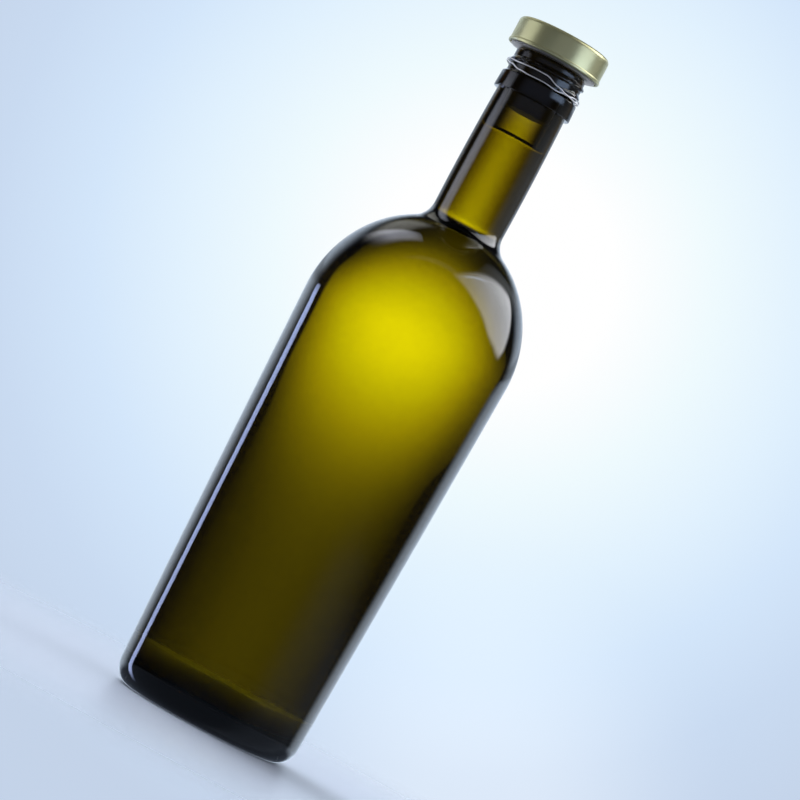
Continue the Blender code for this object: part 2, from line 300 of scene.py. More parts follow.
# The lamps of the stopper and the wire: name, azimuth, strength, colour
STOPPER_LAMPS = (
    ("stopper_right", 119.0, 1.65, (0.85, 1.0, 1.35)),
    ("stopper_left", -91.0, 1.15, (0.93, 1.0, 1.15)),
    ("stopper_front", 176.0, 0.13, (0.95, 1.0, 1.2)),
)
STOPPER_LIT = "stopper_lit"
STOPPER_LAMP_SIZE = (270.0 * MM, 160.0 * MM)
STOPPER_LAMP_RISE = 8.0
STOPPER_LAMP_DISTANCE = 350.0 * MM


class BottleSizes(bpy.types.PropertyGroup):
    """The sizes that shape the bottle and what is in it."""

    turn_steps: IntProperty(
        name="Steps round", description="Faces round each turned piece", default=192, min=24, max=256
    )
    foot_radius: FloatProperty(
        name="Foot radius", description="Radius just above the heel", default=36.3 * MM, unit="LENGTH"
    )
    shoulder_radius: FloatProperty(
        name="Shoulder radius", description="Largest radius", default=GLASS_HIGH.x, unit="LENGTH"
    )
    mouth_height: FloatProperty(
        name="Mouth height", description="Height of the glass", default=GLASS_HIGH.z, unit="LENGTH"
    )
    side_wall: FloatProperty(
        name="Wall", description="Thickness of the glass at the foot", default=2.3 * MM, unit="LENGTH"
    )
    wall_wave: FloatProperty(
        name="Wall wave", description="Unevenness of the inside wall", default=0.04 * MM, unit="LENGTH"
    )
    wine_level: FloatProperty(
        name="Wine level", description="Height of the wine", default=WINE_HIGH.z, unit="LENGTH"
    )


class BottleColours(bpy.types.PropertyGroup):
    """The colours of the bottle's materials."""

    glass: FloatVectorProperty(
        name="Glass", description="What the glass lets through", subtype="COLOR",
        default=(0.836, 0.806, 0.0), min=0.0, max=1.0,
    )
    glass_depth: FloatProperty(
        name="Glass depth", description="Absorption of the glass for each metre", default=1600.0
    )
    wine: FloatVectorProperty(
        name="Wine", description="What the wine lets through", subtype="COLOR",
        default=(0.93, 0.87, 0.0), min=0.0, max=1.0,
    )
    wine_depth: FloatProperty(
        name="Wine depth", description="Absorption of the wine for each metre", default=12.0
    )
    metal: FloatVectorProperty(
        name="Metal", description="The stopper's anodised shell", subtype="COLOR",
        default=(0.6, 0.57, 0.3), min=0.0, max=1.0,
    )
    plastic: FloatVectorProperty(
        name="Plastic", description="The stopper's moulded head", subtype="COLOR",
        default=(0.78, 0.76, 0.78), min=0.0, max=1.0,
    )
    shank: FloatVectorProperty(
        name="Shank", description="The stopper's shank", subtype="COLOR",
        default=(0.035, 0.026, 0.018), min=0.0, max=1.0,
    )
    wire: FloatVectorProperty(
        name="Wire", description="The drawn wire", subtype="COLOR",
        default=(0.88, 0.86, 0.93), min=0.0, max=1.0,
    )


def arc(centre_r, centre_z, size_r, size_z, start, end, steps):
    """Points of an elliptical arc in the (r, z) plane, from start to end in degrees."""
    points = []
    for step in range(steps + 1):
        angle = math.radians(start + (end - start) * step / steps)
        points.append((centre_r + size_r * math.cos(angle), centre_z + size_z * math.sin(angle)))
    return points


def even(low, high, steps):
    """The values between low and high in equal steps, without low itself."""
    return [low + (high - low) * step / steps for step in range(1, steps + 1)]


def smooth(share):
    """A share from 0 to 1 that starts and ends gently."""
    return share * share * (3.0 - 2.0 * share)


def turned(profile, steps):
    """The solid that a profile of (r, z) points, from axis to axis, sweeps in a full turn."""
    made = bmesh.new()
    verts = [made.verts.new((r, 0.0, z)) for r, z in profile]
    edges = [made.edges.new(pair) for pair in zip(verts, verts[1:])]
    bmesh.ops.spin(
        made,
        geom=verts + edges,
        axis=(0.0, 0.0, 1.0),
        cent=(0.0, 0.0, 0.0),
        angle=math.tau,
        steps=steps,
        use_merge=True,
    )
    bmesh.ops.remove_doubles(made, verts=made.verts, dist=MERGE_DISTANCE)
    bmesh.ops.recalc_face_normals(made, faces=made.faces)
    return made


def finished(name, made, look, node):
    """A shown piece that holds a finished bmesh and stands for a node of the frame."""
    mesh = bpy.data.meshes.new(name)
    made.to_mesh(mesh)
    made.free()
    mesh.materials.append(look)
    mesh.shade_smooth()
    mesh.set_sharp_from_angle(angle=math.radians(SHARP_ANGLE))
    piece = bpy.data.objects.new(name, mesh)
    bpy.context.scene.collection.objects.link(piece)
    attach(piece, BODY)
    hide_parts(node)
    return piece


def dome_and_fillet(radius, foot_z, height, neck_radius, fillet, dome_steps):
    """A domed shoulder (a half ellipse) and the hollow curve that joins it to the neck."""

    def dome(angle):
        point = (radius * math.cos(angle), foot_z + height * math.sin(angle))
        normal = Vector((math.cos(angle) / radius, math.sin(angle) / height)).normalized()
        return point, normal

    low = 0.0
    high = math.pi / 2
    for _ in range(FILLET_HALVINGS):
        middle = (low + high) / 2
        point, normal = dome(middle)
        if point[0] + fillet * normal.x > neck_radius + fillet:
            low = middle
        else:
            high = middle
    points = [dome(low * step / dome_steps)[0] for step in range(dome_steps + 1)]
    point, normal = dome(low)
    centre_r = point[0] + fillet * normal.x
    centre_z = point[1] + fillet * normal.y
    start = math.degrees(math.atan2(-normal.y, -normal.x)) % 360.0
    points += arc(centre_r, centre_z, fillet, fillet, start, 180.0, FILLET_STEPS)[1:]
    return points


def side_radius(share, low, high):
    """The slightly bowed taper of the body, between its foot and its shoulder."""
    return low + (high - low) * (share * (1.0 + SIDE_BOW) - SIDE_BOW * share * share)


def outside_profile(sizes):
    """Up the outside, from the middle of the punt to the mouth."""
    ring_outer = sizes.foot_radius - HEEL_WIDTH
    ring_inner = ring_outer - RING_WIDTH
    cap_radius = (ring_inner ** 2 + PUNT_HEIGHT ** 2) / (2.0 * PUNT_HEIGHT)
    cap_angle = math.degrees(math.asin(ring_inner / cap_radius))
    cap_centre = PUNT_HEIGHT - cap_radius
    points = arc(0.0, cap_centre, cap_radius, cap_radius, 90.0, 90.0 - cap_angle, PUNT_STEPS)
    points += arc(ring_outer, HEEL_HEIGHT, HEEL_WIDTH, HEEL_HEIGHT, -90.0, 0.0, HEEL_STEPS)
    for share in even(0.0, 1.0, SIDE_STEPS)[:-1]:
        height = HEEL_HEIGHT + (SHOULDER_HEIGHT - HEEL_HEIGHT) * share
        points.append((side_radius(share, sizes.foot_radius, sizes.shoulder_radius), height))
    points += dome_and_fillet(
        sizes.shoulder_radius, SHOULDER_HEIGHT, DOME_HEIGHT, NECK_FOOT_RADIUS, NECK_FILLET, DOME_STEPS
    )
    neck_foot = points[-1][1]
    for share in even(0.0, 1.0, NECK_STEPS):
        rest = 1.0 - share
        radius = rest * rest * NECK_FOOT_RADIUS + share * share * NECK_TOP_RADIUS
        radius += 2.0 * share * rest * NECK_SWELL_RADIUS
        points.append((radius, neck_foot + (COLLAR_BOTTOM - neck_foot) * share))
    edge = COLLAR_EDGE
    points += arc(COLLAR_LOW_RADIUS - edge, COLLAR_BOTTOM + edge, edge, edge, -90.0, 0.0, COLLAR_STEPS)
    points += arc(COLLAR_HIGH_RADIUS - edge, COLLAR_TOP, edge, edge, 0.0, 70.0, COLLAR_STEPS)
    root = COLLAR_TOP + COLLAR_SLOPE
    points.append((ROOT_RADIUS, root))
    mouth_centre = sizes.mouth_height - MOUTH_ROUND
    rows = round((mouth_centre - root) / THREAD_ROW)
    points += [(ROOT_RADIUS, height) for height in even(root, mouth_centre, rows)[:-1]]
    lip = ROOT_RADIUS - MOUTH_ROUND
    points += arc(lip, mouth_centre, MOUTH_ROUND, MOUTH_ROUND, 0.0, 90.0, MOUTH_STEPS)
    return points


def inside_profile(sizes):
    """Up the inside, from the middle of the floor to the bore."""
    corner_radius = sizes.foot_radius - sizes.side_wall
    flat_edge = corner_radius - INSIDE_CORNER
    rise = INSIDE_PUNT_TOP - INSIDE_FLOOR
    cap_radius = (flat_edge ** 2 + rise ** 2) / (2.0 * rise)
    cap_angle = math.degrees(math.asin(flat_edge / cap_radius))
    cap_centre = INSIDE_PUNT_TOP - cap_radius
    points = arc(0.0, cap_centre, cap_radius, cap_radius, 90.0, 90.0 - cap_angle, INSIDE_PUNT_STEPS)
    corner_top = INSIDE_FLOOR + INSIDE_CORNER
    corner = arc(flat_edge, corner_top, INSIDE_CORNER, INSIDE_CORNER, -90.0, 0.0, INSIDE_CORNER_STEPS)
    points += corner[1:]
    shoulder = sizes.shoulder_radius - SHOULDER_WALL
    for share in even(0.0, 1.0, SIDE_STEPS)[:-1]:
        height = corner_top + (SHOULDER_HEIGHT - corner_top) * share
        points.append((side_radius(share, corner_radius, shoulder), height))
    dome = DOME_HEIGHT - SHOULDER_WALL
    points += dome_and_fillet(
        shoulder, SHOULDER_HEIGHT, dome, NECK_INSIDE_RADIUS, INSIDE_FILLET, INSIDE_DOME_STEPS
    )
    points.append((BORE_TAPER_RADIUS, BORE_TAPER_HEIGHT))
    return points


def bore_radius(height):
    """The bore's radius where it tapers in."""
    share = (height - BORE_TAPER_HEIGHT) / (BORE_FOOT_HEIGHT - BORE_TAPER_HEIGHT)
    return BORE_TAPER_RADIUS + (BORE_RADIUS - BORE_TAPER_RADIUS) * min(1.0, max(0.0, share))


def uneven_wall(made, sizes, is_inside):
    """Moves the inside wall's points in and out a little, as blown glass is uneven there."""
    for vert in made.verts:
        place = vert.co
        flat = Vector((place.x, place.y, 0.0))
        if flat.length < MM or place.z > BORE_TAPER_HEIGHT or not is_inside(flat.length, place.z):
            continue
        scaled = Vector(value * scale for value, scale in zip(place, WAVE_SCALE))
        fade = min(1.0, flat.length / sizes.foot_radius)
        fade *= min(1.0, (BORE_TAPER_HEIGHT - place.z) / WAVE_FADE)
        vert.co += flat.normalized() * (sizes.wall_wave * noise.noise(scaled) * fade)


def blur_floor(made, is_inside):
    """Marks the inside floor, whose thick uneven glass blurs what is seen through it."""
    layer = made.verts.layers.float.new(BLURRED)
    top = INSIDE_FLOOR + INSIDE_CORNER
    for vert in made.verts:
        radius = math.hypot(vert.co.x, vert.co.y)
        if is_inside(radius, vert.co.z):
            vert[layer] = min(1.0, max(0.0, (top - vert.co.z) / FLOOR_BLUR_FADE))


def thread_rise(degrees, height):
    """How far the thread stands out at a place on the neck, as a share of its depth."""
    best = 0.0
    for turn in (-2, -1, 0, 1):
        angle = degrees + 360.0 * turn
        if not THREAD_END < angle < THREAD_START:
            continue
        offset = height - THREAD_HEIGHT_AT_X - THREAD_PITCH * angle / 360.0
        rise = 0.0
        for (start, low), (end, high) in zip(THREAD_SECTION, THREAD_SECTION[1:]):
            if start <= offset <= end:
                share = (offset - start) / (end - start)
                rise = low + (high - low) * share
        end_fade = min(1.0, (angle - THREAD_END) / THREAD_FADE, (THREAD_START - angle) / THREAD_FADE)
        best = max(best, 0.5 * (rise + smooth(rise)) - (1.0 - end_fade))
    return best


def cut_thread(made):
    """Raises the screw thread out of the neck's outer wall."""
    for vert in made.verts:
        flat = Vector((vert.co.x, vert.co.y, 0.0))
        if abs(flat.length - ROOT_RADIUS) > ROOT_NEARNESS:
            continue
        degrees = math.degrees(math.atan2(flat.y, flat.x))
        vert.co += flat.normalized() * (THREAD_DEPTH * thread_rise(degrees, vert.co.z))


def add_node(tree, kind, inputs=(), **settings):
    """A shader node with its settings and its unlinked inputs filled in."""
    made = tree.nodes.new(kind)
    for key, value in settings.items():
        setattr(made, key, value)
    for key, value in dict(inputs).items():
        if isinstance(value, bpy.types.NodeSocket):
            tree.links.new(value, made.inputs[key])
        else:
            made.inputs[key].default_value = value
    return made


def maths(tree, operation, first, second=0.0):
    """The result of a Math node."""
    return add_node(tree, "ShaderNodeMath", {0: first, 1: second}, operation=operation).outputs[0]


def ramp(tree, value, low, high, to_low=0.0, to_high=1.0):
    """A smooth step of a value from one range to another."""
    made = add_node(
        tree,
        "ShaderNodeMapRange",
        {"Value": value, "From Min": low, "From Max": high, "To Min": to_low, "To Max": to_high},
        interpolation_type="SMOOTHSTEP",
    )
    return made.outputs["Result"]


def blend(tree, factor, first, second):
    """A colour between two, by a value from 0 to 1."""
    inputs = {"Factor": factor, "A": first, "B": second}
    return add_node(tree, "ShaderNodeMix", inputs, data_type="RGBA").outputs["Result"]


def new_look(name):
    """A material and its tree, shader and object coordinates."""
    look = bpy.data.materials.new(name)
    look.use_nodes = True
    tree = look.node_tree
    coordinates = add_node(tree, "ShaderNodeTexCoord").outputs["Object"]
    return look, tree, tree.nodes["Principled BSDF"], coordinates


def fine_noise(tree, coordinates, scale, detail=3.0, roughness=0.5):
    """A noise pattern's value, at so many features for each metre."""
    made = add_node(
        tree,
        "ShaderNodeTexNoise",
        {"Vector": coordinates, "Scale": scale, "Detail": detail, "Roughness": roughness},
    )
    return made.outputs["Fac"]


def bump(tree, height, distance, strength=1.0, normal=None):
    """A bumped normal, from a height from 0 to 1 and its depth in metres."""
    inputs = {"Height": height, "Distance": distance, "Strength": strength}
    made = add_node(tree, "ShaderNodeBump", inputs)
    if normal is not None:
        tree.links.new(normal, made.inputs["Normal"])
    return made.outputs["Normal"]


def clear_look(name, ior, through, depth):
    """A clear material that takes its colour from its depth."""
    look, tree, shader, coordinates = new_look(name)
    shader.inputs["Base Color"].default_value = (1.0, 1.0, 1.0, 1.0)
    shader.inputs["Roughness"].default_value = 0.0
    shader.inputs["IOR"].default_value = ior
    shader.inputs["Transmission Weight"].default_value = 1.0
    absorption = add_node(
        tree, "ShaderNodeVolumeAbsorption", {"Color": (*through, 1.0), "Density": depth}
    )
    output = tree.nodes["Material Output"]
    tree.links.new(absorption.outputs["Volume"], output.inputs["Volume"])
    return look, tree, shader, coordinates


def glass_look(colours):
    """Olive glass, slightly wavy, with the fine seam that the two halves of a mould leave."""
    look, tree, shader, coordinates = clear_look(
        "olive_glass", GLASS_IOR, colours.glass, colours.glass_depth
    )
    waves = fine_noise(tree, coordinates, WAVES_PER_METRE, detail=1.0)
    wavy = bump(tree, waves, WAVE_DEPTH)
    parts = add_node(tree, "ShaderNodeSeparateXYZ", {"Vector": coordinates})
    beside_seam = maths(tree, "ABSOLUTE", parts.outputs["Y"])
    seam = ramp(tree, beside_seam, 0.0, SEAM_WIDTH, 1.0, 0.0)
    seamed = bump(tree, seam, SEAM_DEPTH, normal=wavy)
    tree.links.new(seamed, shader.inputs["Normal"])
    blur = add_node(tree, "ShaderNodeAttribute", attribute_name=BLURRED).outputs["Fac"]
    tree.links.new(maths(tree, "MULTIPLY", blur, FLOOR_BLUR), shader.inputs["Roughness"])
    return look


def wine_look(colours):
    """Clear white wine."""
    return clear_look("white_wine", WINE_IOR, colours.wine, colours.wine_depth)[0]


def shade(colour, share):
    """A colour made darker or lighter."""
    return (*[min(1.0, value * share) for value in colour], 1.0)


def grained_look(look, grain, tint, colour, shades, roughness):
    """Gives a look a colour between two shades, by one pattern, and a roughness by another."""
    surface, tree, shader, _ = look
    darker, lighter = shades
    mottled = blend(tree, tint, shade(colour, darker), shade(colour, lighter))
    tree.links.new(mottled, shader.inputs["Base Color"])
    tree.links.new(ramp(tree, grain, *GRAIN_RANGE, *roughness), shader.inputs["Roughness"])
    return surface


def metal_look(colours):
    """Satin anodised metal with a fine turned grain."""
    look = new_look("champagne_metal")
    _, tree, shader, coordinates = look
    shader.inputs["Metallic"].default_value = 0.62
    stretch = add_node(tree, "ShaderNodeMapping", {"Vector": coordinates, "Scale": (1.0, 1.0, 14.0)})
    grain = fine_noise(tree, stretch.outputs["Vector"], 900.0, detail=4.0)
    cloud = fine_noise(tree, coordinates, 120.0)
    tree.links.new(bump(tree, grain, 0.02 * MM, strength=0.35), shader.inputs["Normal"])
    return grained_look(look, grain, cloud, colours.metal, shades=(0.93, 1.07), roughness=(0.27, 0.37))


def plastic_look(colours):
    """White moulded plastic with a fine satin grain."""
    look = new_look("white_plastic")
    _, tree, shader, coordinates = look
    grain = fine_noise(tree, coordinates, 1400.0)
    cloud = fine_noise(tree, coordinates, 150.0)
    tree.links.new(bump(tree, grain, 0.02 * MM, strength=0.4), shader.inputs["Normal"])
    return grained_look(look, grain, cloud, colours.plastic, shades=(0.94, 1.0), roughness=(0.36, 0.5))


def shank_look(colours):
    """Dark, matt, slightly grainy shank."""
    look = new_look("dark_shank")
    _, tree, shader, coordinates = look
    grain = fine_noise(tree, coordinates, 700.0, detail=5.0, roughness=0.6)
    tree.links.new(bump(tree, grain, 0.08 * MM, strength=0.6), shader.inputs["Normal"])
    return grained_look(look, grain, grain, colours.shank, shades=(0.6, 1.5), roughness=(0.5, 0.75))


def wire_look(colours):
    """Drawn steel wire, dulled."""
    look = new_look("drawn_wire")
    _, tree, shader, coordinates = look
    shader.inputs["Metallic"].default_value = 0.4
    grain = fine_noise(tree, coordinates, 2500.0)
    return grained_look(look, grain, grain, colours.wire, shades=(0.75, 1.15), roughness=(0.3, 0.5))


def floor_look():
    """A pale matt floor that fades out into the backdrop."""
    look, tree, shader, coordinates = new_look("pale_floor")
    shader.inputs["Base Color"].default_value = (*FLOOR_COLOUR, 1.0)
    shader.inputs["Roughness"].default_value = FLOOR_ROUGHNESS
    away = add_node(tree, "ShaderNodeVectorMath", {0: coordinates}, operation="LENGTH").outputs["Value"]
    clear = add_node(tree, "ShaderNodeBsdfTransparent").outputs["BSDF"]
    faded = add_node(
        tree,
        "ShaderNodeMixShader",
        {"Fac": ramp(tree, away, *FLOOR_FADES), 1: shader.outputs["BSDF"], 2: clear},
    )
    tree.links.new(faded.outputs["Shader"], tree.nodes["Material Output"].inputs["Surface"])
    return look


def heading(azimuth, elevation):
    """The unit vector at an azimuth from +Y towards +X and an elevation, in degrees."""
    turn = math.radians(azimuth)
    lift = math.radians(elevation)
    return Vector((math.cos(lift) * math.sin(turn), math.cos(lift) * math.cos(turn), math.sin(lift)))


class Sky:
    """The studio round the bottle, as light by direction."""

    def __init__(self, tree):
        self.tree = tree
        self.way = add_node(tree, "ShaderNodeTexCoord").outputs["Generated"]
        parts = add_node(tree, "ShaderNodeSeparateXYZ", {"Vector": self.way})
        turn = maths(tree, "ARCTAN2", parts.outputs["X"], parts.outputs["Y"])
        self.azimuth = maths(tree, "DEGREES", turn)
        self.elevation = maths(tree, "DEGREES", maths(tree, "ARCSINE", parts.outputs["Z"]))

    def times(self, first, second):
        return maths(self.tree, "MULTIPLY", first, second)

    def plus(self, first, second):
        return maths(self.tree, "ADD", first, second)

    def band(self, value, begins, full, falls, ends):
        """0 up to begins, 1 from full to falls and 0 past ends, or 1 at a side given as None."""
        rise = 1.0 if full is None else ramp(self.tree, value, begins, full)
        fall = 1.0 if falls is None else ramp(self.tree, value, falls, ends, 1.0, 0.0)
        return self.times(rise, fall)

    def patch(self, azimuths, elevations):
        """A patch in a band of azimuths and a band of elevations."""
        return self.times(self.band(self.azimuth, *azimuths), self.band(self.elevation, *elevations))

    def away_from(self, azimuth, elevation):
        """The angle in degrees from a direction."""
        dot = add_node(
            self.tree,
            "ShaderNodeVectorMath",
            {0: self.way, 1: heading(azimuth, elevation)},
            operation="DOT_PRODUCT",
        )
        return maths(self.tree, "DEGREES", maths(self.tree, "ARCCOSINE", dot.outputs["Value"]))

    def soft_box(self, corners, soft):
        """A flat box with straight edges between corners given as (azimuth, elevation)."""
        ways = [heading(*corner) for corner in corners]
        middle = sum(ways, Vector()).normalized()
        inside = None
        for here, after in zip(ways, ways[1:] + ways[:1]):
            inward = here.cross(after).normalized()
            if inward.dot(middle) < 0.0:
                inward.negate()
            dot = add_node(
                self.tree, "ShaderNodeVectorMath", {0: self.way, 1: inward}, operation="DOT_PRODUCT"
            )
            edge = ramp(self.tree, dot.outputs["Value"], -soft, soft)
            inside = edge if inside is None else self.times(inside, edge)
        return inside

    def tinted(self, value, colour):
        """A colour times a value."""
        made = add_node(
            self.tree, "ShaderNodeVectorMath", {0: colour, "Scale": value}, operation="SCALE"
        )
        return made.outputs["Vector"]

    def sum(self, *vectors):
        """The sum of several lights."""
        total = vectors[0]
        for vector in vectors[1:]:
            made = add_node(self.tree, "ShaderNodeVectorMath", {0: total, 1: vector}, operation="ADD")
            total = made.outputs["Vector"]
        return total


def seen_backdrop(sky):
    """The pale backdrop as the camera sees it, brightest behind the bottle's shoulder."""
    away = maths(sky.tree, "DIVIDE", sky.away_from(*BACKDROP_AT), BACKDROP_ANGLE)
    made = add_node(sky.tree, "ShaderNodeValToRGB", {"Fac": away})
    stops = made.color_ramp.elements
    for stop, (angle, colour) in zip(stops, (BACKDROP[0], BACKDROP[-1])):
        stop.position = angle / BACKDROP_ANGLE
        stop.color = (*colour, 1.0)
    for angle, colour in BACKDROP[1:-1]:
        stops.new(angle / BACKDROP_ANGLE).color = (*colour, 1.0)
    lower = ramp(sky.tree, sky.away_from(*LOW_LIGHT_AT), *LOW_LIGHT_FADES)
    return sky.sum(made.outputs["Color"], sky.tinted(lower, LOW_LIGHT_COLOUR))


def light_through(sky):
    """What is seen through the glass past the lit sheet: dark next to it, pale elsewhere."""
    around = sky.band(maths(sky.tree, "ABSOLUTE", sky.azimuth), *THROUGH_AZIMUTHS)
    level = sky.band(sky.elevation, *THROUGH_ELEVATIONS)
    pale = sky.plus(sky.times(level, THROUGH_PALE), THROUGH_DIM)
    return sky.tinted(sky.times(around, pale), THROUGH_COLOUR)


def light_mirrored(sky):
    """What the glass mirrors: the backdrop, a strip at the left and soft boxes above the shoulder."""
    narrower = sky.plus(sky.azimuth, ramp(sky.tree, sky.elevation, *MIRRORED_NARROWING))
    backdrop = sky.times(sky.band(sky.azimuth, *MIRRORED_LEFT), sky.band(narrower, *MIRRORED_RIGHT))
    backdrop = sky.times(backdrop, sky.band(sky.elevation, *MIRRORED_ELEVATIONS))
    dip = sky.times(sky.band(sky.elevation, *MIRRORED_DIP), -MIRRORED_DIP_DEPTH)
    backdrop = sky.times(backdrop, sky.plus(dip, 1.0))
    leaning = sky.plus(sky.azimuth, ramp(sky.tree, sky.elevation, *STRIP_LEANING))
    strip = sky.times(sky.band(leaning, *STRIP_AZIMUTHS), sky.band(sky.elevation, *STRIP_ELEVATIONS))
    fading = ramp(sky.tree, sky.away_from(*RIGHT_BOX_AT), *RIGHT_BOX_FADES)
    right_box = sky.times(sky.soft_box(RIGHT_BOX, RIGHT_BOX_SOFTNESS), fading)
    patches = [
        sky.tinted(sky.patch(azimuths, elevations), colour)
        for colour, azimuths, elevations in MIRRORED_PATCHES
    ]
    return sky.sum(
        sky.tinted(backdrop, MIRRORED_COLOUR),
        sky.tinted(strip, STRIP_COLOUR),
        sky.tinted(right_box, RIGHT_BOX_COLOUR),
        *patches,
        MIRRORED_EVERYWHERE,
    )


def light_spread(sky):
    """What lights matt surfaces: a lamp behind and to the left, and a pale room."""
    light = ramp(sky.tree, sky.away_from(*LAMP_AT), *LAMP_FADES)
    light = sky.plus(light, ramp(sky.tree, sky.elevation, *ROOM_FADES))
    for strength, azimuths, elevations in SPREAD_PATCHES:
        light = sky.plus(light, sky.times(sky.patch(azimuths, elevations), strength))
    return sky.tinted(light, SPREAD_COLOUR)


def glow(tree, parts, centre, widths, heights):
    """A soft round glow on an upright sheet, which may reach further on one side than on the other."""
    total = None
    for axis, middle, spread in (("X", centre[0], widths), ("Z", centre[1], heights)):
        offset = maths(tree, "SUBTRACT", parts.outputs[axis], middle)
        less = maths(tree, "DIVIDE", maths(tree, "MINIMUM", offset, 0.0), spread[0])
        more = maths(tree, "DIVIDE", maths(tree, "MAXIMUM", offset, 0.0), spread[1])
        square = maths(tree, "POWER", maths(tree, "ADD", maths(tree, "ABSOLUTE", less), more), 2.0)
        total = square if total is None else maths(tree, "ADD", total, square)
    return maths(tree, "EXPONENT", maths(tree, "MULTIPLY", total, -0.5))


def back_light_look():
    """The lit sheet close behind the bottle: a hot spot at shoulder height that fades downwards."""
    look = bpy.data.materials.new("back_light")
    look.use_nodes = True
    tree = look.node_tree
    coordinates = add_node(tree, "ShaderNodeTexCoord").outputs["Object"]
    parts = add_node(tree, "ShaderNodeSeparateXYZ", {"Vector": coordinates})
    total = 0.0
    for strength, centre, widths, heights in BACK_GLOWS:
        spot = glow(tree, parts, centre, widths, heights)
        total = maths(tree, "ADD", maths(tree, "MULTIPLY", spot, strength), total)
    for (low, low_light), (high, high_light), wider in BACK_LIGHT_EDGES:
        narrowing = ramp(tree, parts.outputs["Z"], *BACK_LIGHT_WIDENS, 1.0, 1.0 - wider)
        across = maths(tree, "MULTIPLY", parts.outputs["X"], narrowing)
        total = maths(tree, "MULTIPLY", total, ramp(tree, across, low, high, low_light, high_light))
    tint = blend(tree, ramp(tree, total, *BACK_LIGHT_RANGE), BACK_LIGHT_WEAK, BACK_LIGHT_STRONG)
    shine = add_node(tree, "ShaderNodeEmission", {"Color": tint, "Strength": total})
    tree.links.new(shine.outputs["Emission"], tree.nodes["Material Output"].inputs["Surface"])
    return look


def make_back_light():
    """The lit sheet close behind the bottle, which is seen through the glass only."""
    made = bmesh.new()
    bmesh.ops.create_grid(made, x_segments=1, y_segments=1, size=BACK_LIGHT_SIZE / 2)
    upright = Matrix.Rotation(math.radians(90.0), 4, "X")
    place = Matrix.Translation((0.0, BACK_LIGHT_DISTANCE, BACK_LIGHT_HEIGHT))
    bmesh.ops.transform(made, matrix=place @ upright, verts=made.verts)
    mesh = bpy.data.meshes.new("back_light")
    made.to_mesh(mesh)
    made.free()
    mesh.materials.append(back_light_look())
    panel = bpy.data.objects.new("back_light", mesh)
    bpy.context.scene.collection.objects.link(panel)
    for kind in ("camera", "diffuse", "glossy", "volume_scatter", "shadow"):
        setattr(panel, "visible_" + kind, False)


def area_lamp(name, away, distance, centre_z, width, height):
    """A lamp that faces a point of the bottle's axis, so strong that it shines with a light of 1."""
    data = bpy.data.lights.new(name, "AREA")
    data.shape = "RECTANGLE"
    data.size = width
    data.size_y = height
    data.energy = math.pi * width * height
    place = Vector((0.0, 0.0, centre_z)) + away * distance
    lamp = bpy.data.objects.new(name, data)
    lamp.matrix_world = Matrix.Translation(place) @ away.to_track_quat("Z", "Y").to_matrix().to_4x4()
    lamp.visible_camera = False
    bpy.context.scene.collection.objects.link(lamp)
    return lamp


def soft_box_lamp(name, colour, strength, azimuth, distance, centre_z, width, height):
    """A lamp near the neck that only shiny surfaces mirror and that fades at its edges."""
    lamp = area_lamp(name, heading(azimuth, 0.0), distance, centre_z, width, height)
    for kind in ("diffuse", "transmission", "volume_scatter"):
        setattr(lamp, "visible_" + kind, False)
    lamp.data.use_nodes = True
    tree = lamp.data.node_tree
    coordinates = add_node(tree, "ShaderNodeTexCoord").outputs["Object"]
    parts = add_node(tree, "ShaderNodeSeparateXYZ", {"Vector": coordinates})
    inside = strength
    for axis, size, (low, high, end) in (("X", width, SOFT_ACROSS), ("Y", height, SOFT_UPWARD)):
        place = parts.outputs[axis]
        rise = ramp(tree, place, -0.5 * size, (low - 0.5) * size)
        fall = ramp(tree, place, (high - 0.5) * size, (end - 0.5) * size, 1.0, 0.0)
        inside = maths(tree, "MULTIPLY", maths(tree, "MULTIPLY", rise, fall), inside)
    shine = tree.nodes["Emission"]
    shine.inputs["Color"].default_value = (*colour, 1.0)
    tree.links.new(inside, shine.inputs["Strength"])


def stopper_lamp(name, azimuth, strength, colour):
    """A soft box that lights the stopper and the wire alone."""
    away = heading(azimuth, STOPPER_LAMP_RISE)
    lamp = area_lamp(name, away, STOPPER_LAMP_DISTANCE, HEAD_LOW.z, *STOPPER_LAMP_SIZE)
    lamp.data.energy *= strength
    lamp.data.color = colour
    lamp.light_linking.receiver_collection = bpy.data.collections[STOPPER_LIT]


def make_studio():
    """The world's light, chosen by what kind of ray asks for it."""
    world = bpy.data.worlds.new("pale_studio")
    bpy.context.scene.world = world
    world.use_nodes = True
    world.cycles.sampling_method = "NONE"
    tree = world.node_tree
    sky = Sky(tree)
    path = add_node(tree, "ShaderNodeLightPath").outputs
    light = light_spread(sky)
    light = blend(tree, path["Is Glossy Ray"], light, light_mirrored(sky))
    light = blend(tree, path["Is Transmission Ray"], light, light_through(sky))
    light = blend(tree, path["Is Camera Ray"], light, seen_backdrop(sky))
    tree.links.new(light, tree.nodes["Background"].inputs["Color"])


